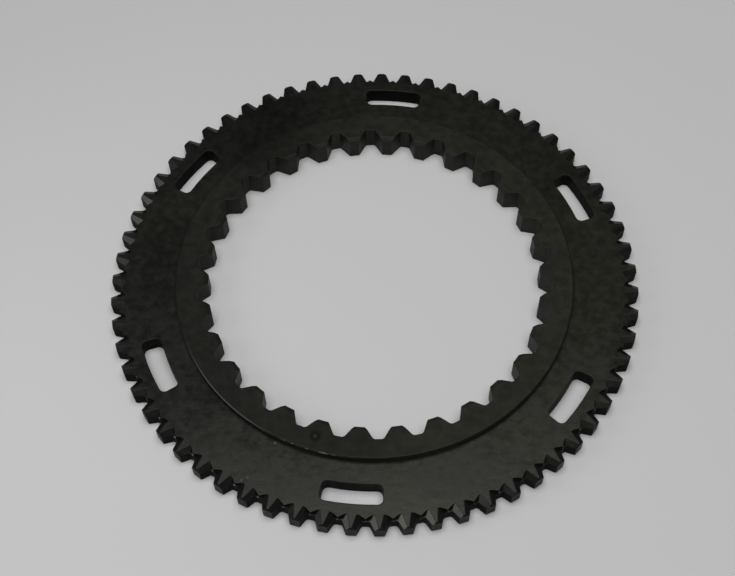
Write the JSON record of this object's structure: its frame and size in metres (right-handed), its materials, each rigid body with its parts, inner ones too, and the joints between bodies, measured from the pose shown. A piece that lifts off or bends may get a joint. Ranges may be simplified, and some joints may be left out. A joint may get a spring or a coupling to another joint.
{
  "type": "synchronizer ring",
  "caption": "Flat toothed steel ring for a gearbox: pointed dog teeth round the rim, spline teeth in the bore, a low inner boss and curved slots through the flange.",
  "frame": {"origin": "centre of the flat resting face, on the ring's axis", "axes": "+Z along the ring's axis, from the flat resting face to the boss and the pointed ends of the dog teeth; +X and +Y in the plane of the resting face, with +Y away from the viewer of the picture; a dog tooth and a spline tooth share a centre line 24 degrees from +X"},
  "size_m": [0.192, 0.192, 0.01],
  "materials": {
    "blackened_steel": "heat-treated and blackened, satin, lightly oiled, with brighter worn edges"
  },
  "bodies": {
    "root": {"synchronizer_ring": "blackened_steel"}
  },
  "joints": []
}
